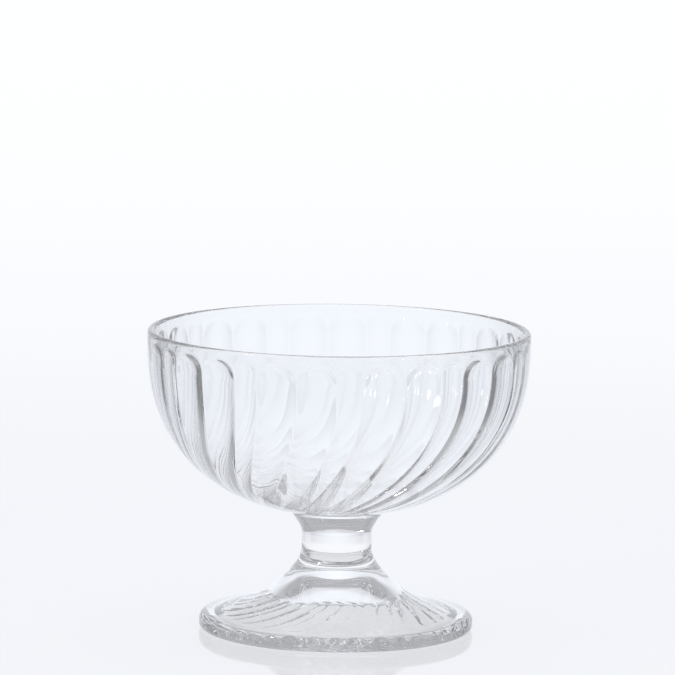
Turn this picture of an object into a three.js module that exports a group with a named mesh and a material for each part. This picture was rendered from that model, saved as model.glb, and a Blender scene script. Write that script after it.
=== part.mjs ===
// A stemmed sorbet coupe in clear pressed glass: a deep bowl that is smooth outside and carries swirling
// lobes inside, a short solid stem, and a flared foot with a lobed hollow under it. The three pieces are
// welded hot to each other at flat faces.
// Lengths are millimetres and angles are degrees. +Z is up, and the coupe stands on z = 0.
import * as THREE from "three";

// Heights of the three pieces, from the table up
const footHeight = 16.6;
const stemHeight = 13.4;
const bowlHeight = 45;

// Bowl
const mouthRadius = 47.5;
const rimWall = 1.8;
const rimBand = 3.35; // upright stretch between the top of the lip and the curve of the wall
const bowlFullness = 2.29; // power of the wall's superellipse: 2 is an ellipse, more is squarer
const floorThickness = 1.3; // glass between the weld and the inside of the bowl

// Stem
const shaftRadius = 8.7;
const collarRadius = 12;
const collarHeight = 5.6;
const neckRounding = 7.2; // radius of the hollow curve where the stem runs out into the foot
const neckAngle = 36; // how far the foot of the stem leans out from upright

// Foot
const footRadius = 34.1;
const edgeHeight = 4.2;
const edgeRoundingTop = 2;
const edgeRoundingBase = 1.4;
const edgeSlope = 10; // fall of the foot's upper face where it meets the edge
const neckPull = 7.5; // how far the flare keeps the neck's direction
const edgePull = 13; // how far the flare keeps the edge's slope
const restingRing = 3.2; // width of the flat ring that touches the table

// Hollow under the foot: a flat ceiling, a bell below it and a gentler skirt out to the resting ring
const hollowDepth = 11.1;
const ceilingRadius = 6.1;
const bellRadius = 14.3;
const bellHeight = 6.2;
const ceilingRounding = 2.6; // length that the rounding takes from the ceiling and from the bell
const bellRounding = 5.5; // length that the rounding takes from the bell and from the skirt

// Lobes: each group holds two wide ones and a narrow one, side by side
const lobeGroups = 11;
const wideLobeAngle = 12.66;
const narrowShare = 0.55; // rise of a narrow lobe beside a wide one
const lobeFlatness = 2.4; // more than 2 widens the back of a lobe
const lobeSoftness = 1.25; // more than 1 rounds the valleys
const archCrispness = 4; // added to the flatness at the tip of an arch

// Lobes in the bowl
const bowlLobeRise = 0.85;
const groupStart = -82.6; // where a group begins, about the axis from +X
const archDrop = 2.4; // from the top of the lip down to the arched tops of the lobes
const straightRun = 10; // length of wall under the lip along which the lobes run straight down
const swirlRate = 0.0167; // turn for each square millimetre of the run below that

// Lobes in the hollow of the foot
const footLobeRise = 0.22;
const footGroupStart = -90.7;
const footLanding = 2; // plain glass between the lobes' round ends and the resting ring
const footLobeStart = 14; // radius at which the lobes begin to grow out of the bell
const footLobeRamp = 4; // how much further out they reach their full rise
const footSwirl = 45; // turn from the resting ring in to the ceiling

// Facets
const bowlColumns = { wide: 4, narrow: 3 }; // across one lobe
const footColumns = { wide: 3, narrow: 2 };
const outerRows = 8;
const innerRows = 14;
const rowCrowding = 1.5; // more than 1 draws the rows together towards the lip
const hollowRows = 11;
const flareRows = 6;
const stemSides = 44;
const curveRows = 3;
const roundRows = 2;

const { degToRad, lerp } = THREE.MathUtils;
const bowlSeat = footHeight + stemHeight;
const rimTop = bowlSeat + bowlHeight;
const wallTop = rimTop - rimBand;
const lipRadius = rimWall / 2;
const neckLean = degToRad(neckAngle);
const neckHeight = neckRounding * Math.sin(neckLean);
const neckRadius = shaftRadius + neckRounding * (1 - Math.cos(neckLean));

// The wall of the bowl: a quarter of a superellipse that falls from radius at wallTop in to endRadius.
class WallCurve extends THREE.Curve {
  constructor(radius, depth, endRadius) {
    super();
    this.radius = radius;
    this.depth = depth;
    this.endAngle = Math.asin((endRadius / radius) ** (bowlFullness / 2));
  }
  getPoint(t, target = new THREE.Vector2()) {
    const angle = lerp(Math.PI / 2, this.endAngle, t);
    const across = Math.sin(angle) ** (2 / bowlFullness);
    const down = Math.abs(Math.cos(angle)) ** (2 / bowlFullness);
    return target.set(this.radius * across, wallTop - this.depth * down);
  }
}

// One column of facets for each valley between two lobes, and a few across each lobe.
function lobeColumns(start, counts) {
  const groupAngle = 360 / lobeGroups;
  const wide = { angle: wideLobeAngle, share: 1, count: counts.wide };
  const narrow = {
    angle: groupAngle - 2 * wideLobeAngle,
    share: narrowShare,
    count: counts.narrow,
  };
  const columns = [];
  for (let group = 0; group < lobeGroups; group++) {
    let edge = start + group * groupAngle;
    for (const lobe of [wide, wide, narrow]) {
      for (let step = 0; step < lobe.count; step++) {
        columns.push({
          angle: edge + (lobe.angle * step) / lobe.count,
          across: (2 * step) / lobe.count - 1,
          halfWidth: degToRad(lobe.angle) / 2,
          share: lobe.share,
        });
      }
      edge += lobe.angle;
    }
  }
  return columns;
}

// Share of the rise at one place: 1 along the middle of a wide lobe, and 0 in the valleys and beyond the
// round arch that ends the lobe. The arch is as high as the lobe is wide to one side of its middle.
function lobeShare(column, fromArch, wallRadius) {
  const inArch = Math.max(0, 1 - fromArch / (wallRadius * column.halfWidth));
  const fromMiddle = Math.hypot(column.across, inArch);
  const flatness = lobeFlatness + archCrispness * inArch;
  return column.share * Math.max(0, 1 - fromMiddle ** flatness) ** lobeSoftness;
}

// Revolves rings whose glass lies to the left of their run, with each ring turned by its own angle
// and its points lifted out of the glass by the ring's own swell.
function lobedLathe(rings, columns) {
  const points = rings.map((ring) => ring.point);
  const geometry = new THREE.LatheGeometry(points, columns.length);
  const position = geometry.getAttribute("position");
  for (let index = 0; index < position.count; index++) {
    const row = index % rings.length;
    const column = columns[Math.floor(index / rings.length) % columns.length];
    const before = points[Math.max(row - 1, 0)];
    const after = points[Math.min(row + 1, points.length - 1)];
    const run = after.clone().sub(before).normalize();
    const lift = rings[row].swell ? rings[row].swell(column) : 0;
    const radius = points[row].x + run.y * lift;
    const height = points[row].y - run.x * lift;
    const angle = degToRad(column.angle + rings[row].turn);
    position.setXYZ(index, radius * Math.cos(angle), radius * Math.sin(angle), height);
  }
  geometry.computeVertexNormals();
  return geometry;
}

function plainRings(points) {
  return points.map((point) => ({ point, turn: 0 }));
}

function clearGlass(name, geometry) {
  const material = new THREE.MeshStandardMaterial({
    color: 0xf1f5f7,
    roughness: 0.04,
    metalness: 0,
    transparent: true,
    opacity: 0.35,
  });
  const mesh = new THREE.Mesh(geometry, material);
  mesh.name = name;
  return mesh;
}

// The inner wall falls from the lip to the floor. Its lobes turn ever faster below their straight run
// and sink away towards the middle of the floor.
function bowlInnerRings() {
  const innerRadius = mouthRadius - rimWall;
  const innerDepth = wallTop - bowlSeat - floorThickness;
  const wall = new THREE.CurvePath();
  wall.add(
    new THREE.LineCurve(
      new THREE.Vector2(innerRadius, rimTop - lipRadius),
      new THREE.Vector2(innerRadius, wallTop),
    ),
  );
  wall.add(new WallCurve(innerRadius, innerDepth, 0));
  const wallLength = wall.getLength();
  const rings = [];
  for (let row = 1; row < innerRows; row++) {
    const share = (row / innerRows) ** rowCrowding;
    const point = wall.getPoint(share);
    const fromRim = lipRadius + wallLength * share;
    const rise = bowlLobeRise * (point.x / innerRadius) ** 2;
    rings.push({
      point,
      turn: -swirlRate * Math.max(0, fromRim - straightRun) ** 2,
      swell: (column) => rise * lobeShare(column, fromRim - archDrop, innerRadius),
    });
  }
  const middle = new THREE.Vector2(0, bowlSeat + floorThickness);
  return [...rings, { point: middle, turn: rings.at(-1).turn }];
}

function makeBowl() {
  const shrink = 1 - (collarRadius / mouthRadius) ** bowlFullness;
  const outerDepth = (wallTop - bowlSeat) / shrink ** (1 / bowlFullness);
  const outer = new WallCurve(mouthRadius, outerDepth, collarRadius).getSpacedPoints(outerRows);
  const lip = new THREE.Path();
  lip.absarc(mouthRadius - lipRadius, rimTop - lipRadius, lipRadius, 0, Math.PI, false);
  const seatMiddle = new THREE.Vector2(0, bowlSeat);
  const plain = plainRings([seatMiddle, ...outer.reverse(), ...lip.getPoints(roundRows)]);
  const rings = [...plain, ...bowlInnerRings()];
  return clearGlass("bowl", lobedLathe(rings, lobeColumns(groupStart, bowlColumns)));
}

function makeStem() {
  const outline = new THREE.Path();
  outline.moveTo(0, footHeight);
  outline.lineTo(neckRadius, footHeight);
  outline.absarc(
    shaftRadius + neckRounding,
    footHeight + neckHeight,
    neckRounding,
    Math.PI + neckLean,
    Math.PI,
    true,
  );
  const collarBase = bowlSeat - collarHeight;
  outline.lineTo(shaftRadius, collarBase);
  outline.quadraticCurveTo(
    shaftRadius,
    collarBase + collarHeight / 4,
    collarRadius,
    bowlSeat,
  );
  outline.lineTo(0, bowlSeat);
  const geometry = new THREE.LatheGeometry(outline.getPoints(curveRows), stemSides);
  return clearGlass("stem", geometry.rotateX(Math.PI / 2));
}

// The hollow's wall runs from the ceiling down the bell and out along the skirt to the resting ring.
function hollowWall(ringInner) {
  const ceilingEdge = new THREE.Vector2(ceilingRadius, hollowDepth);
  const bellFoot = new THREE.Vector2(bellRadius, bellHeight);
  const ringEdge = new THREE.Vector2(ringInner, 0);
  const bellRun = bellFoot.clone().sub(ceilingEdge).normalize();
  const skirtRun = ringEdge.clone().sub(bellFoot).normalize();
  const bellTop = ceilingEdge.clone().addScaledVector(bellRun, ceilingRounding);
  const bellEnd = bellFoot.clone().addScaledVector(bellRun, -bellRounding);
  const skirtStart = bellFoot.clone().addScaledVector(skirtRun, bellRounding);
  const wall = new THREE.Path();
  wall.moveTo(ceilingRadius - ceilingRounding, hollowDepth);
  wall.quadraticCurveTo(ceilingEdge.x, ceilingEdge.y, bellTop.x, bellTop.y);
  wall.lineTo(bellEnd.x, bellEnd.y);
  wall.quadraticCurveTo(bellFoot.x, bellFoot.y, skirtStart.x, skirtStart.y);
  wall.lineTo(ringEdge.x, ringEdge.y);
  return wall;
}

function hollowRings(ringInner) {
  const wall = hollowWall(ringInner);
  const wallLength = wall.getLength();
  const rings = [{ point: new THREE.Vector2(0, hollowDepth), turn: footSwirl }];
  for (let row = 0; row <= hollowRows; row++) {
    const share = row / hollowRows;
    const point = wall.getPoint(share);
    const fromRing = wallLength * (1 - share);
    const rise = footLobeRise * THREE.MathUtils.clamp((point.x - footLobeStart) / footLobeRamp, 0, 1);
    rings.push({
      point,
      turn: footSwirl * (1 - share),
      swell: (column) => rise * lobeShare(column, fromRing - footLanding, ringInner),
    });
  }
  return rings;
}

function makeFoot() {
  const ringOuter = footRadius - edgeRoundingBase;
  const edge = new THREE.Path();
  edge.absarc(ringOuter, edgeRoundingBase, edgeRoundingBase, -Math.PI / 2, 0, false);
  const roundTop = footRadius - edgeRoundingTop;
  const lean = degToRad(edgeSlope);
  edge.absarc(roundTop, edgeHeight - edgeRoundingTop, edgeRoundingTop, 0, Math.PI / 2 - lean, false);
  const edgeEnd = edge.currentPoint.clone();
  const flare = new THREE.CubicBezierCurve(
    edgeEnd,
    new THREE.Vector2(edgeEnd.x - edgePull * Math.cos(lean), edgeEnd.y + edgePull * Math.sin(lean)),
    new THREE.Vector2(
      neckRadius + neckPull * Math.sin(neckLean),
      footHeight - neckPull * Math.cos(neckLean),
    ),
    new THREE.Vector2(neckRadius, footHeight),
  );
  const top = [
    ...edge.getPoints(roundRows),
    ...flare.getSpacedPoints(flareRows).slice(1),
    new THREE.Vector2(0, footHeight),
  ];
  const rings = [...hollowRings(ringOuter - restingRing), ...plainRings(top)];
  return clearGlass("foot", lobedLathe(rings, lobeColumns(footGroupStart, footColumns)));
}

const coupe = new THREE.Group();
coupe.add(makeFoot(), makeStem(), makeBowl());

export default coupe;
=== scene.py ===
# %% [markdown]
# # A sorbet coupe in clear pressed glass
#
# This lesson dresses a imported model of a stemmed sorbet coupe: a deep bowl with swirling flutes, a short
# solid stem and a flared foot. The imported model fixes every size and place, so it is loaded first and
# measured before anything is made.

import bpy
import numpy as np
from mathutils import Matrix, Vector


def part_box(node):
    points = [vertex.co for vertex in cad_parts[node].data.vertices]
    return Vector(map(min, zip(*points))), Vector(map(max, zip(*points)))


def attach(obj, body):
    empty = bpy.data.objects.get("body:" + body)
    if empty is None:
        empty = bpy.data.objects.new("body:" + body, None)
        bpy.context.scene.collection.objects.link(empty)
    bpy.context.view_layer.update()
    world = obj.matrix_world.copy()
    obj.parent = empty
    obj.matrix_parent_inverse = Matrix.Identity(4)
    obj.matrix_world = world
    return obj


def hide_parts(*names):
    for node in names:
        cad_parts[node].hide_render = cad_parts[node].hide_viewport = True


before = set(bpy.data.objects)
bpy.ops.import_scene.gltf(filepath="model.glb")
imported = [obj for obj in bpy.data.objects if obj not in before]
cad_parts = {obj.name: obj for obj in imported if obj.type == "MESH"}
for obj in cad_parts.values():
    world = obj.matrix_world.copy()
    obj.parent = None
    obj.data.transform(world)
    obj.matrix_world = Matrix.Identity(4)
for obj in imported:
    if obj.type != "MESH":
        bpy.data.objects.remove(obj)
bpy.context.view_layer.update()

# %% [markdown]
# ## The camera
#
# The coupe was pictured with a long lens, a little above the mouth, and the picture leans by less than a
# degree. The camera could be aimed with a constraint. It is built from its own forward, right and up
# directions instead, because a lean is then just a small turn of the last two.

# %% Stand the camera
PICTURE_SIDE = 675
FOCAL_PIXELS = 5737
SENSOR_WIDTH = 36.0
CAMERA_PLACE = np.array([0.0, -1.4055, 0.2727])
LOOK_DOWN = np.radians(8.089)
LOOK_ASIDE = np.radians(-0.018)
LEAN = np.radians(0.74)

level_forward = np.array([np.sin(LOOK_ASIDE), np.cos(LOOK_ASIDE), 0.0])
forward = np.cos(LOOK_DOWN) * level_forward - np.sin(LOOK_DOWN) * np.array([0.0, 0.0, 1.0])
level_right = np.array([np.cos(LOOK_ASIDE), -np.sin(LOOK_ASIDE), 0.0])
level_up = np.cross(level_right, forward)
right = np.cos(LEAN) * level_right + np.sin(LEAN) * level_up
up = np.cos(LEAN) * level_up - np.sin(LEAN) * level_right

camera_data = bpy.data.cameras.new("picture_camera")
camera_data.sensor_width = SENSOR_WIDTH
camera_data.lens = FOCAL_PIXELS / PICTURE_SIDE * SENSOR_WIDTH
camera_data.clip_end = 100.0
camera = bpy.data.objects.new("picture_camera", camera_data)
pose = np.eye(4)
pose[:3, 0], pose[:3, 1], pose[:3, 2], pose[:3, 3] = right, up, -forward, CAMERA_PLACE
camera.matrix_world = pose.T.tolist()
bpy.context.scene.collection.objects.link(camera)
bpy.context.scene.camera = camera
print("lens in millimetres:", round(camera_data.lens, 1))

# %% [markdown]
# ## A grid that closes on itself
#
# Every piece of this coupe goes round the same axis, so each could be a lathe of its outline. Here each
# is one grid instead: rows run along the outline of the glass and columns run round the axis. A row may
# then have its own turn, which is what makes the flutes swirl, and a row on the axis shrinks to one
# point. The same function builds the bowl, the stem and the foot as closed skins.

# %% Turn a grid of radii, angles and heights into a mesh
MM = 0.001


def closed_skin(name, radius, angle, height, welds):
    """A mesh through x = r cos a, y = r sin a, z = h, for arrays of rows by columns.

    The first and the last row lie on the axis and become one point each. Every row between them is a ring,
    and neighbouring rings are joined by quads. The faces of the row gaps in welds are flat, in slot 1."""
    rings = np.stack([radius * np.cos(angle), radius * np.sin(angle), height], axis=-1)[1:-1]
    ring_count, columns = rings.shape[:2]
    poles = np.array([[0.0, 0.0, height[0, 0]], [0.0, 0.0, height[-1, 0]]])
    points = np.concatenate([rings.reshape(-1, 3), poles]) * MM

    index = np.arange(ring_count * columns).reshape(ring_count, columns)
    beside = np.roll(index, -1, axis=1)
    quads = np.stack([index[:-1], beside[:-1], beside[1:], index[1:]], axis=-1)
    first_pole, last_pole = len(points) - 2, len(points) - 1
    start_fan = np.stack([np.full(columns, first_pole), beside[0], index[0]], axis=-1)
    end_fan = np.stack([index[-1], beside[-1], np.full(columns, last_pole)], axis=-1)

    corners = np.concatenate([start_fan.ravel(), quads.ravel(), end_fan.ravel()])
    sides = np.concatenate([np.full(columns, 3), np.full(quads.size // 4, 4), np.full(columns, 3)])
    gap_of_face = np.repeat(np.arange(ring_count + 1), columns)
    is_weld = np.isin(gap_of_face, [gap % (ring_count + 1) for gap in welds])

    mesh = bpy.data.meshes.new(name)
    mesh.vertices.add(len(points))
    mesh.vertices.foreach_set("co", points.ravel())
    mesh.loops.add(len(corners))
    mesh.loops.foreach_set("vertex_index", corners.astype(np.int32))
    mesh.polygons.add(len(sides))
    loop_start = np.concatenate([[0], np.cumsum(sides)[:-1]])
    mesh.polygons.foreach_set("loop_start", loop_start.astype(np.int32))
    mesh.polygons.foreach_set("use_smooth", ~is_weld)
    mesh.polygons.foreach_set("material_index", is_weld.astype(np.int32))
    mesh.update()
    mesh.validate()
    piece = bpy.data.objects.new(name, mesh)
    bpy.context.scene.collection.objects.link(piece)
    print(name, "has", int(np.sum(sides - 2)), "triangles")
    return piece


print("one millimetre is", MM, "m")

# %% Sample lines and curves


def along(points, count):
    """Resamples a polyline of (radius, height) points at count + 1 even places along its own length."""
    points = np.asarray(points, dtype=float)
    reach = np.concatenate([[0.0], np.cumsum(np.hypot(*np.diff(points, axis=0).T))])
    place = np.linspace(0, reach[-1], count + 1)
    radius = np.interp(place, reach, points[:, 0])
    height = np.interp(place, reach, points[:, 1])
    return np.stack([radius, height], axis=-1)


def arc(centre, size, start, end, count):
    """Points of a circle's arc about a centre, from one angle in degrees to another."""
    turn = np.radians(np.linspace(start, end, count + 1))
    return np.asarray(centre) + size * np.stack([np.cos(turn), np.sin(turn)], axis=-1)


def bezier(points, count):
    """Points of a Bezier curve: each layer lies between neighbours of the layer before, at the share t."""
    t = np.linspace(0, 1, count + 1)[:, None]
    layers = [np.asarray(point, dtype=float) + 0 * t for point in points]
    while len(layers) > 1:
        layers = [a * (1 - t) + b * t for a, b in zip(layers, layers[1:])]
    return layers[0]


print("middle of a quarter circle:", arc([0.0, 0.0], 1.0, 0, 90, 2)[1].round(3))

# %% [markdown]
# ## The lobes
#
# Grooves in the plunger leave round-topped lobes on the inside of the glass, two wide and one narrow,
# eleven times round. What looks like a flute is the valley between two lobes. The lobes could be carved
# with a displacement picture. One formula for their rise keeps every valley on a column of the grid, so
# that it stays crisp without a huge mesh.

# %% Lay out the columns and the rise of a lobe
GROUPS = 11
WIDE_ANGLE = 12.66
BOWL_SWELL = 0.85
FOOT_SWELL = 0.22
NARROW_SHARE = 0.55
FLATNESS = 2.4
SOFTNESS = 1.25
ARCH_CRISPNESS = 4.0


def lobe_columns(start, wide_count, narrow_count):
    """Angle in degrees, place across from -1 to 1, half the lobe's width in radians, share of the swell.

    The place across is the sine of an even step, which crowds the columns towards the valleys."""
    group_angle = 360 / GROUPS
    widths = [WIDE_ANGLE, WIDE_ANGLE, group_angle - 2 * WIDE_ANGLE]
    shares = [1.0, 1.0, NARROW_SHARE]
    counts = [wide_count, wide_count, narrow_count]
    starts = np.cumsum([0.0] + widths[:-1])
    across = [np.sin(np.pi / 2 * np.linspace(-1, 1, count, endpoint=False)) for count in counts]
    angle = [s + w * (a + 1) / 2 for s, w, a in zip(starts, widths, across)]
    half_width = [np.full(count, np.radians(w / 2)) for w, count in zip(widths, counts)]
    share = [np.full(count, value) for value, count in zip(shares, counts)]
    turns = start + group_angle * np.arange(GROUPS)
    return (
        (turns[:, None] + np.concatenate(angle)).ravel(),
        np.tile(np.concatenate(across), GROUPS),
        np.tile(np.concatenate(half_width), GROUPS),
        np.tile(np.concatenate(share), GROUPS),
    )


def lobe_rise(across, arch, share, from_arch):
    """Rise of the lobes, rows by columns: (1 - e to the power of the flatness) to the power SOFTNESS.

    Here e is the distance from the lobe's middle line, 1 in the valleys and round the arched end. The
    flatness widens the lobe's back, most at the tip of the arch, and SOFTNESS rounds the valleys."""
    in_arch = np.maximum(0, 1 - from_arch[:, None] / arch)
    flatness = FLATNESS + ARCH_CRISPNESS * in_arch
    return share * np.maximum(0, 1 - np.hypot(across, in_arch) ** flatness) ** SOFTNESS


def swell_out(outline, rise):
    """Moves each point of an outline out of the glass, which lies to the left of its run, by its rise."""
    run = np.gradient(outline, axis=0)
    run /= np.linalg.norm(run, axis=1, keepdims=True)
    return outline[:, :1] + run[:, 1:] * rise, outline[:, 1:] - run[:, :1] * rise


narrow_angle = 360 / GROUPS - 2 * WIDE_ANGLE
print("lobes in all:", 3 * GROUPS, "- a narrow one takes", round(narrow_angle, 2), "degrees")

# %% [markdown]
# ## The bowl
#
# The bowl is pressed between a smooth mould and a grooved plunger, so its outside is plain and its inside
# carries the lobes. It could be a solidified sheet, but then both sides would swell. Here the outline
# runs up the outside, over the lip and down the inside. The wall is a superellipse, which is a little
# squarer than an ellipse. The lobes run straight down from their arches and then turn ever faster, as the
# square of the length below the lip.

# %% Shape the bowl
bowl_low, bowl_high = np.array(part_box("bowl")) / MM
BOWL_SEAT = bowl_low[2]
RIM_TOP = bowl_high[2]
MOUTH_RADIUS = 47.5
RIM_WALL = 1.8
RIM_BAND = 3.35
FULLNESS = 2.29
FLOOR_THICKNESS = 1.3
COLLAR_RADIUS = 12.0
GROUP_START = -82.6
ARCH_DROP = 2.4
STRAIGHT_RUN = 10.0
SWIRL_RATE = 0.0167
WALL_TOP = RIM_TOP - RIM_BAND
WALL_POINTS = 4000
OUTER_ROWS = 96
LIP_ROWS = 12
INNER_POINTS = 400
INNER_ROWS = 184
BOWL_COLUMNS = (12, 6)


def bowl_wall(radius, depth, start_radius, count):
    """A quarter superellipse: radius times sine, depth times cosine, to the power two over the fullness."""
    start = np.arcsin((start_radius / radius) ** (FULLNESS / 2))
    turn = np.linspace(start, np.pi / 2, WALL_POINTS)
    across = np.sin(turn) ** (2 / FULLNESS)
    down = np.abs(np.cos(turn)) ** (2 / FULLNESS)
    return along(np.stack([radius * across, WALL_TOP - depth * down], axis=-1), count)


def make_bowl():
    shrink = 1 - (COLLAR_RADIUS / MOUTH_RADIUS) ** FULLNESS
    outer_depth = (WALL_TOP - BOWL_SEAT) / shrink ** (1 / FULLNESS)
    lip_radius = RIM_WALL / 2
    outer = bowl_wall(MOUTH_RADIUS, outer_depth, COLLAR_RADIUS, OUTER_ROWS)
    lip = arc([MOUTH_RADIUS - lip_radius, RIM_TOP - lip_radius], lip_radius, 0, 180, LIP_ROWS)
    plain = np.concatenate([[[0.0, BOWL_SEAT]], outer, lip[:-1]])

    inner_radius = MOUTH_RADIUS - RIM_WALL
    inner_depth = WALL_TOP - BOWL_SEAT - FLOOR_THICKNESS
    wall = bowl_wall(inner_radius, inner_depth, 0.0, INNER_POINTS)[::-1]
    inner = along(np.concatenate([lip[-1:], wall]), INNER_ROWS)
    step = np.hypot(*np.diff(inner, axis=0).T)
    from_rim = lip_radius + np.concatenate([[0.0], np.cumsum(step)])
    angle, across, half_width, share = lobe_columns(GROUP_START, *BOWL_COLUMNS)
    rise = lobe_rise(across, inner_radius * half_width, share, from_rim - ARCH_DROP)
    fade = (inner[:, 0] / inner_radius) ** 2
    lobe_radius, lobe_height = swell_out(inner, BOWL_SWELL * rise * fade[:, None])
    lobe_turn = -SWIRL_RATE * np.maximum(0, from_rim - STRAIGHT_RUN) ** 2

    whole = np.ones_like(angle)
    radius = np.concatenate([plain[:, :1] * whole, lobe_radius])
    height = np.concatenate([plain[:, 1:] * whole, lobe_height])
    turn = np.concatenate([np.zeros(len(plain)), lobe_turn])
    return closed_skin("coupe_bowl", radius, np.radians(angle + turn[:, None]), height, welds=[0])


bowl = make_bowl()

# %% [markdown]
# ## The stem
#
# The stem is a plain round shape: a neck that curves in from the foot, a short straight shaft and a
# collar that spreads under the bowl. It could be a lathe of a drawn curve. Writing the outline as an arc,
# a line and a Bezier curve keeps each stretch at its own size.

# %% Shape the stem
stem_low, stem_high = np.array(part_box("stem")) / MM
NECK_SEAT = stem_low[2]
SHAFT_RADIUS = 8.7
COLLAR_HEIGHT = 5.6
NECK_ROUNDING = 7.2
NECK_ANGLE = 36.0
NECK_RADIUS = SHAFT_RADIUS + NECK_ROUNDING * (1 - np.cos(np.radians(NECK_ANGLE)))
NECK_HEIGHT = NECK_ROUNDING * np.sin(np.radians(NECK_ANGLE))
CURVE_POINTS = 40
SIDE_ROWS = 120
STEM_COLUMNS = 256


def make_stem():
    neck_centre = [SHAFT_RADIUS + NECK_ROUNDING, NECK_SEAT + NECK_HEIGHT]
    neck = arc(neck_centre, NECK_ROUNDING, 180 + NECK_ANGLE, 180, CURVE_POINTS)
    collar_base = [SHAFT_RADIUS, BOWL_SEAT - COLLAR_HEIGHT]
    collar_bend = [SHAFT_RADIUS, BOWL_SEAT - COLLAR_HEIGHT * 3 / 4]
    collar = bezier([collar_base, collar_bend, [COLLAR_RADIUS, BOWL_SEAT]], CURVE_POINTS)
    side = along(np.concatenate([neck, collar]), SIDE_ROWS)
    outline = np.concatenate([[[0.0, NECK_SEAT]], side, [[0.0, BOWL_SEAT]]])
    angle = np.linspace(0, 2 * np.pi, STEM_COLUMNS, endpoint=False)[None]
    radius, height = outline[:, :1] + 0 * angle, outline[:, 1:] + 0 * angle
    return closed_skin("coupe_stem", radius, angle + 0 * radius, height, welds=[0, -1])


stem = make_stem()

# %% [markdown]
# ## The foot
#
# The foot flares from the neck to a thick rounded edge. A second plunger presses a bell-shaped hollow
# into its underside, with the same rhythm of lobes as the bowl, which shows through the smooth upper
# face. The coupe stands on the flat ring between the hollow and the edge. The foot could be cut from a
# solid with a boolean. One outline from the hollow's ceiling, round the edge and up to the neck gives
# cleaner rows.

# %% Shape the foot
FOOT_RADIUS = 34.1
EDGE_HEIGHT = 4.2
EDGE_ROUNDING_TOP = 2.0
EDGE_ROUNDING_BASE = 1.4
EDGE_SLOPE = np.radians(10.0)
NECK_PULL = 7.5
EDGE_PULL = 13.0
RESTING_RING = 3.2
RING_OUTER = FOOT_RADIUS - EDGE_ROUNDING_BASE
RING_INNER = RING_OUTER - RESTING_RING
HOLLOW_DEPTH = 11.1
CEILING_RADIUS = 6.1
SHOULDER = 2.6
BELL_RADIUS = 14.3
BELL_HEIGHT = 6.2
THROAT = 5.5
LOBE_START = 14.0
LOBE_RAMP = 4.0
FOOT_GROUP_START = -90.7
FOOT_LANDING = 2.0
FOOT_SWIRL = 45.0
BEND_POINTS = 60
HOLLOW_ROWS = 110
CEILING_ROWS = 12
EDGE_ROWS_BASE = 8
EDGE_ROWS_TOP = 10
FLARE_ROWS = 70
FOOT_COLUMNS = (14, 8)


def unit(step):
    """A step of length one in the same direction."""
    return step / np.linalg.norm(step)


def make_foot():
    top = np.array([CEILING_RADIUS, HOLLOW_DEPTH])
    bend = np.array([BELL_RADIUS, BELL_HEIGHT])
    ring = np.array([RING_INNER, 0.0])
    shoulder = bezier([top - [SHOULDER, 0], top, top + SHOULDER * unit(bend - top)], BEND_POINTS)
    throat_start, throat_end = bend + THROAT * unit(top - bend), bend + THROAT * unit(ring - bend)
    throat = bezier([throat_start, bend, throat_end], BEND_POINTS)
    wall = along(np.concatenate([shoulder, throat, [ring]]), HOLLOW_ROWS)
    step = np.hypot(*np.diff(wall, axis=0).T)
    from_ring = np.concatenate([np.cumsum(step[::-1])[::-1], [0.0]])
    angle, across, half_width, share = lobe_columns(FOOT_GROUP_START, *FOOT_COLUMNS)
    rise = lobe_rise(across, RING_INNER * half_width, share, from_ring - FOOT_LANDING)
    fade = np.clip((wall[:, 0] - LOBE_START) / LOBE_RAMP, 0, 1)
    wall_radius, wall_height = swell_out(wall, FOOT_SWELL * rise * fade[:, None])
    wall_turn = FOOT_SWIRL * from_ring / from_ring[0]

    edge_low = arc([RING_OUTER, EDGE_ROUNDING_BASE], EDGE_ROUNDING_BASE, -90, 0, EDGE_ROWS_BASE)
    top_angle = 90 - np.degrees(EDGE_SLOPE)
    high_centre = [FOOT_RADIUS - EDGE_ROUNDING_TOP, EDGE_HEIGHT - EDGE_ROUNDING_TOP]
    edge_high = arc(high_centre, EDGE_ROUNDING_TOP, 0, top_angle, EDGE_ROWS_TOP)
    edge_end = edge_high[-1]
    neck_end = np.array([NECK_RADIUS, NECK_SEAT])
    neck_angle = np.radians(NECK_ANGLE)
    from_edge = edge_end + EDGE_PULL * np.array([-np.cos(EDGE_SLOPE), np.sin(EDGE_SLOPE)])
    from_neck = neck_end + NECK_PULL * np.array([np.sin(neck_angle), -np.cos(neck_angle)])
    flare = bezier([edge_end, from_edge, from_neck, neck_end], FLARE_ROWS)
    plain = np.concatenate([edge_low, edge_high, flare[1:], [[0.0, NECK_SEAT]]])
    ceiling_radius = np.linspace(0, wall[0, 0], CEILING_ROWS, endpoint=False)
    ceiling = np.stack([ceiling_radius, np.full(CEILING_ROWS, HOLLOW_DEPTH)], axis=-1)
    whole = np.ones_like(angle)
    radius = np.concatenate([ceiling[:, :1] * whole, wall_radius, plain[:, :1] * whole])
    height = np.concatenate([ceiling[:, 1:] * whole, wall_height, plain[:, 1:] * whole])
    turn = np.concatenate([np.full(len(ceiling), FOOT_SWIRL), wall_turn, np.zeros(len(plain))])
    return closed_skin("coupe_foot", radius, np.radians(angle + turn[:, None]), height, welds=[-1])


foot = make_foot()

# %% [markdown]
# ## Shader sums as Python sums
#
# A finish is worked out from sums of sockets. Wrapping a socket in a small class lets those sums be
# written as ordinary expressions, and one method makes any other node.

# %% Wrap sockets


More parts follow.
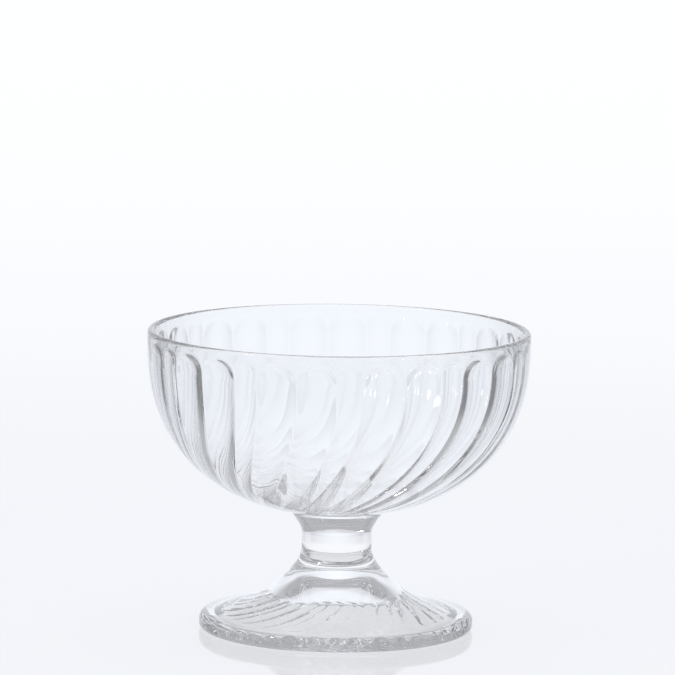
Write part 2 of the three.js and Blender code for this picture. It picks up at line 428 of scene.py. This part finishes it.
class Socket:
    """A socket of a node tree: arithmetic on it adds Math nodes, and node() adds any other kind."""

    def __init__(self, tree, socket):
        self.tree = tree
        self.socket = socket

    def _sum(self, operation, first, second):
        return self.node("ShaderNodeMath", {"operation": operation}, {0: first, 1: second})[0]

    def __add__(self, other):
        return self._sum("ADD", self, other)

    def __radd__(self, other):
        return self._sum("ADD", other, self)

    def __sub__(self, other):
        return self._sum("SUBTRACT", self, other)

    def __rsub__(self, other):
        return self._sum("SUBTRACT", other, self)

    def __mul__(self, other):
        return self._sum("MULTIPLY", self, other)

    def __rmul__(self, other):
        return self._sum("MULTIPLY", other, self)

    def node(self, kind, settings=None, inputs=None):
        """Adds a node, sets its settings, fills its sockets and gives its outputs, wrapped."""
        made = self.tree.nodes.new(kind)
        for key, value in (settings or {}).items():
            setattr(made, key, value)
        for key, value in (inputs or {}).items():
            if isinstance(value, Socket):
                self.tree.links.new(value.socket, made.inputs[key])
            else:
                made.inputs[key].default_value = value
        return [Socket(self.tree, socket) for socket in made.outputs]


def ramp(value, start, end, low, high):
    """A smooth step from low to high while the value goes from start to end."""
    settings = {"interpolation_type": "SMOOTHSTEP"}
    inputs = {"Value": value, "From Min": start, "From Max": end, "To Min": low, "To Max": high}
    return value.node("ShaderNodeMapRange", settings, inputs)[0]


def blend(share, low, high):
    """The colour that goes from low to high as the share goes from 0 to 1."""
    return share.node("ShaderNodeMix", {"data_type": "VECTOR"}, {0: share, 4: low, 5: high})[1]


def first_socket(tree, kind, output):
    """The wrapped output of a new node that needs no inputs."""
    return Socket(tree, tree.nodes.new(kind).outputs[output])


def straight_through(tree):
    """1 for light that was only bent by the glass, and 0 once a face of the glass has mirrored it."""
    mirrors = first_socket(tree, "ShaderNodeLightPath", "Glossy Depth")
    return 1 - mirrors.node("ShaderNodeMath", {"operation": "MINIMUM"}, {0: mirrors, 1: 1.0})[0]


print("sockets add, subtract and multiply; ramp() and blend() step between values and colours")


# %% [markdown]
# ## The clear glass
#
# Soda-lime glass bends light by 1.52 and hardly colours it. Pressing leaves faint waves in its skin,
# where the glass chilled against the metal, and washing leaves the gloss a touch uneven. Both are far too
# small for the mesh, so they are a bump and a change of roughness.

# %% Mix the glass
GLASS_BEND = 1.52
GLASS_TINT = (0.995, 0.998, 1.0, 1.0)
WAVE_SCALE = 70.0
WAVE_STRENGTH = 0.015
WAVE_DEPTH = 0.001
SMEAR_SCALE = 160.0
SMEAR_ROUGHNESS = 0.02


def new_material(name):
    material = bpy.data.materials.new(name)
    material.use_nodes = True
    tree = material.node_tree
    return material, tree, tree.nodes["Principled BSDF"]


def clear_glass():
    material, tree, shader = new_material("clear_glass")
    shader.inputs["Base Color"].default_value = GLASS_TINT
    shader.inputs["Transmission Weight"].default_value = 1.0
    shader.inputs["IOR"].default_value = GLASS_BEND
    place = first_socket(tree, "ShaderNodeTexCoord", "Object")
    wave_noise = {"Vector": place, "Scale": WAVE_SCALE, "Detail": 1.0}
    waves = place.node("ShaderNodeTexNoise", {}, wave_noise)[0]
    smear_noise = {"Vector": place, "Scale": SMEAR_SCALE, "Detail": 3.0}
    smears = place.node("ShaderNodeTexNoise", {}, smear_noise)[0]
    skin = {"Strength": WAVE_STRENGTH, "Distance": WAVE_DEPTH, "Height": waves}
    bump = place.node("ShaderNodeBump", {}, skin)[0]
    tree.links.new(bump.socket, shader.inputs["Normal"])
    tree.links.new((smears * SMEAR_ROUGHNESS).socket, shader.inputs["Roughness"])
    return material


def hot_weld():
    """The face where two pieces melted into one: nothing is left there to see, so it is clear through."""
    material, tree, shader = new_material("hot_weld")
    shader.inputs["Alpha"].default_value = 0.0
    shader.inputs["Roughness"].default_value = 1.0
    shader.inputs["Specular IOR Level"].default_value = 0.0
    return material


GLASS = clear_glass()
WELD = hot_weld()
for piece, node in ((bowl, "bowl"), (stem, "stem"), (foot, "foot")):
    piece.data.materials.append(GLASS)
    piece.data.materials.append(WELD)
    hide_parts(node)
    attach(piece, "root")
    print(piece.name, "stands for", node)

# %% [markdown]
# ## The floor
#
# The coupe stands on a glossy white table, which mirrors its foot as a crescent. A mirror-like plane
# would do that, but glass also shows the table through itself. So the table is a pale glow under a clear
# coat that only the camera sees. Through the glass it has painted light and shade of its own: white where
# light was only bent, a painted grey shade where a face of the glass mirrored it, a painted shadow under
# the hollow and a darker painted contact shadow under the ring that the foot stands on.

# %% Lay the floor
FLOOR_REACH = 1.5
FLOOR_SINK = 0.0001
FLOOR_COLOUR = (0.985, 1.0, 1.035)
FLOOR_MATT = (0.1, 0.1, 0.1, 1.0)
FLOOR_GLOSS = 0.7
FLOOR_BLUR = 0.05
FLOOR_GLOW = 0.775
# Glow of the floor seen through the glass, with painted shade: open floor, painted grey shade after a
# mirroring face, painted shadow under the hollow, painted contact shadow under the resting ring.
FLOOR_OPEN = 0.9
FLOOR_MIRRORED_SHADE = 0.36
FLOOR_UNDER_SHADOW = 0.74
FLOOR_CONTACT_SHADOW = 0.6
FLOOR_CONTACT_SHADOW_MIRRORED = 0.24
FLOOR_FULL_TO = 0.07
FLOOR_GONE_AT = 0.18
FLOOR_GONE_FOR_CAMERA = 0.5
HOLLOW_EDGE = (RING_INNER - 2) * MM, RING_INNER * MM
FOOT_EDGE = (FOOT_RADIUS - 1) * MM, (FOOT_RADIUS + 3) * MM
floor_mesh = bpy.data.meshes.new("floor")
corners = FLOOR_REACH * np.array([[-1.0, -1.0], [1.0, -1.0], [1.0, 1.0], [-1.0, 1.0]])
corners = np.column_stack([corners, np.full(4, -FLOOR_SINK)])
floor_mesh.from_pydata(corners.tolist(), [], [(0, 1, 2, 3)])
floor = bpy.data.objects.new("floor", floor_mesh)
floor.visible_glossy = False
bpy.context.scene.collection.objects.link(floor)


def pale_floor():
    """Glossy white that thins out with the distance, so that the backdrop takes over unseen."""
    material, tree, shader = new_material("pale_floor")
    shader.inputs["Base Color"].default_value = FLOOR_MATT
    shader.inputs["Roughness"].default_value = 1.0
    shader.inputs["Specular IOR Level"].default_value = 0.0
    shader.inputs["Coat Roughness"].default_value = FLOOR_BLUR
    shader.inputs["Emission Strength"].default_value = 1.0
    place = first_socket(tree, "ShaderNodeTexCoord", "Object")
    by_camera = first_socket(tree, "ShaderNodeLightPath", "Is Camera Ray")
    by_glass = first_socket(tree, "ShaderNodeLightPath", "Is Transmission Ray")
    straight = straight_through(tree)
    distance = place.node("ShaderNodeVectorMath", {"operation": "LENGTH"}, {0: place})[1]

    # Painted shade through the glass: a painted contact shadow on the resting ring, a painted shadow under
    # the hollow, and a greyer painted shade where a face of the glass mirrored the ray.
    ring = FLOOR_CONTACT_SHADOW_MIRRORED + (FLOOR_CONTACT_SHADOW - FLOOR_CONTACT_SHADOW_MIRRORED) * straight
    open_floor = FLOOR_MIRRORED_SHADE + (FLOOR_OPEN - FLOOR_MIRRORED_SHADE) * straight
    shadow_under_hollow = ramp(distance, *HOLLOW_EDGE, FLOOR_UNDER_SHADOW, 0.0)
    beyond_foot = ramp(distance, *FOOT_EDGE, 0.0, 1.0)
    contact_shadow_mask = ramp(distance, *HOLLOW_EDGE, 0.0, 1.0) - beyond_foot
    glow_and_shade_through_glass = shadow_under_hollow + ring * contact_shadow_mask + open_floor * beyond_foot
    strength = FLOOR_GLOW * by_camera + glow_and_shade_through_glass * by_glass
    scaled = {0: FLOOR_COLOUR, "Scale": strength}
    glow = strength.node("ShaderNodeVectorMath", {"operation": "SCALE"}, scaled)[0]
    gone_at = FLOOR_GONE_AT + (FLOOR_GONE_FOR_CAMERA - FLOOR_GONE_AT) * by_camera
    thinning = ramp(distance, FLOOR_FULL_TO, gone_at, 1.0, 0.0)
    tree.links.new(glow.socket, shader.inputs["Emission Color"])
    tree.links.new((FLOOR_GLOSS * by_camera).socket, shader.inputs["Coat Weight"])
    tree.links.new(thinning.socket, shader.inputs["Alpha"])
    return material


floor_mesh.materials.append(pale_floor())
print("floor of", 2 * FLOOR_REACH, "m, at height", -FLOOR_SINK)

# %% [markdown]
# ## The room
#
# Clear glass is drawn by what stands round it. A white sheet behind the coupe makes the middle of the
# bowl bright, and a grey room gives each valley its grey line. These could be panels of their own. As a
# background they throw no shadows and never come into the picture. The room is grey only for light that a
# face of the glass has mirrored, because a grey room seen straight through would make clear glass look
# smoked from the side. The grey is deepest just below the horizon, where the valleys of the bowl look,
# and paler above it, where the foot and the collar look.

# %% Paint the room
SHEET_EDGE = np.radians([34.0, 42.0])
SHEET_TOP = (0.2, 0.45)
SHEET_BASE = (-0.2, 0.0)
SHEET_GLOW = (1.0, 1.04)
SHEET_FALL = np.radians([0.0, 50.0])
SHEET_SIDE = 0.6
ROOM = 0.24
CEILING = 0.46
HORIZON = (-0.12, 0.1)
OPEN_ROOM = 0.85
BELOW = 0.75
BELOW_RISE = (-0.85, -0.3)
BACKDROP_RISE = (-0.22, -0.09)
BACKDROP_GLOW = (0.87, 1.02)
DAYLIGHT = 0.7
SHEET_COLOUR = (0.955, 0.988, 1.05)
ROOM_COLOUR = (0.985, 0.985, 1.04)
BACKDROP_COLOUR = (0.97, 0.985, 1.02)
world = bpy.data.worlds.new("studio")
world.use_nodes = True
bpy.context.scene.world = world
sky = world.node_tree
sky.nodes.clear()
direction = first_socket(sky, "ShaderNodeTexCoord", "Generated")
aside, ahead, rise = direction.node("ShaderNodeSeparateXYZ", {}, {"Vector": direction})
bearing = aside.node("ShaderNodeMath", {"operation": "ARCTAN2"}, {0: aside, 1: ahead})[0]
bearing = bearing.node("ShaderNodeMath", {"operation": "ABSOLUTE"}, {0: bearing})[0]

on_sheet = ramp(bearing, *SHEET_EDGE, 1.0, 0.0) * ramp(rise, *SHEET_TOP, 1.0, 0.0)
sheet = ramp(rise, *SHEET_BASE, *SHEET_GLOW) * ramp(bearing, *SHEET_FALL, 1.0, SHEET_SIDE)
walls = ramp(rise, *HORIZON, ROOM, CEILING)
walls = walls + (BELOW - walls) * ramp(rise, *BELOW_RISE, 1.0, 0.0)
walls = walls + (OPEN_ROOM - walls) * straight_through(sky)
room = walls + (sheet - walls) * on_sheet
backdrop = ramp(rise, *BACKDROP_RISE, *BACKDROP_GLOW)

by_camera = first_socket(sky, "ShaderNodeLightPath", "Is Camera Ray")
by_mirror = first_socket(sky, "ShaderNodeLightPath", "Is Glossy Ray")
by_glass = first_socket(sky, "ShaderNodeLightPath", "Is Transmission Ray")
seen = by_camera + by_mirror + by_glass
seen = seen.node("ShaderNodeMath", {"operation": "MINIMUM"}, {0: seen, 1: 1.0})[0]
strength = by_camera * backdrop + (seen - by_camera) * room + (1 - seen) * DAYLIGHT
colour = blend(by_camera, blend(on_sheet, ROOM_COLOUR, SHEET_COLOUR), BACKDROP_COLOUR)
background = sky.nodes.new("ShaderNodeBackground")
sky.links.new(colour.socket, background.inputs["Color"])
sky.links.new(strength.socket, background.inputs["Strength"])
output = sky.nodes.new("ShaderNodeOutputWorld")
sky.links.new(background.outputs["Background"], output.inputs["Surface"])
print("room has", len(sky.nodes), "nodes")

# %% [markdown]
# ## The lamps
#
# A small window to the left of the camera leaves the sparks on the arches and on the foot. A large soft
# lamp above only lights the table. It could be left out of the glass by hiding the coupe from it, but
# then the coupe would throw no shadow, so the lamp is hidden from the rays that the glass bends and
# mirrors.

# %% Hang the lamps


def soft_lamp(name, place, aim, size, power):
    """A square lamp that faces a point: its own axis runs from the aim to its place."""
    data = bpy.data.lights.new(name, "AREA")
    data.shape = "RECTANGLE"
    data.size, data.size_y = size, size
    data.energy = power
    lamp = bpy.data.objects.new(name, data)
    back = unit(np.subtract(place, aim))
    side = unit(np.cross([0.0, 0.0, 1.0], back))
    pose = np.eye(4)
    pose[:3, 0], pose[:3, 1], pose[:3, 2], pose[:3, 3] = side, np.cross(back, side), back, place
    lamp.matrix_world = pose.T.tolist()
    bpy.context.scene.collection.objects.link(lamp)
    print(name, "lamp of", power, "W")
    return lamp


soft_lamp("window", place=(-0.84, -0.47, 0.7), aim=(0.0, 0.0, 0.03), size=0.12, power=1.6)
overhead = soft_lamp("overhead", place=(0.1, 0.3, 1.4), aim=(0.0, 0.0, 0.0), size=1.0, power=9.0)
overhead.visible_transmission = False
overhead.visible_glossy = False

# %% [markdown]
# ## The finish
#
# Light crosses many glass faces here and is mirrored inside the glass, so a path needs many bounces
# before it ends. A low limit would leave false black patches.

# %% Finish
BOUNCES = 40
WELD_BOUNCES = 24
scene = bpy.context.scene
scene.view_settings.view_transform = "Standard"
scene.cycles.max_bounces = BOUNCES
scene.cycles.transmission_bounces = BOUNCES
scene.cycles.glossy_bounces = BOUNCES
scene.cycles.transparent_max_bounces = WELD_BOUNCES
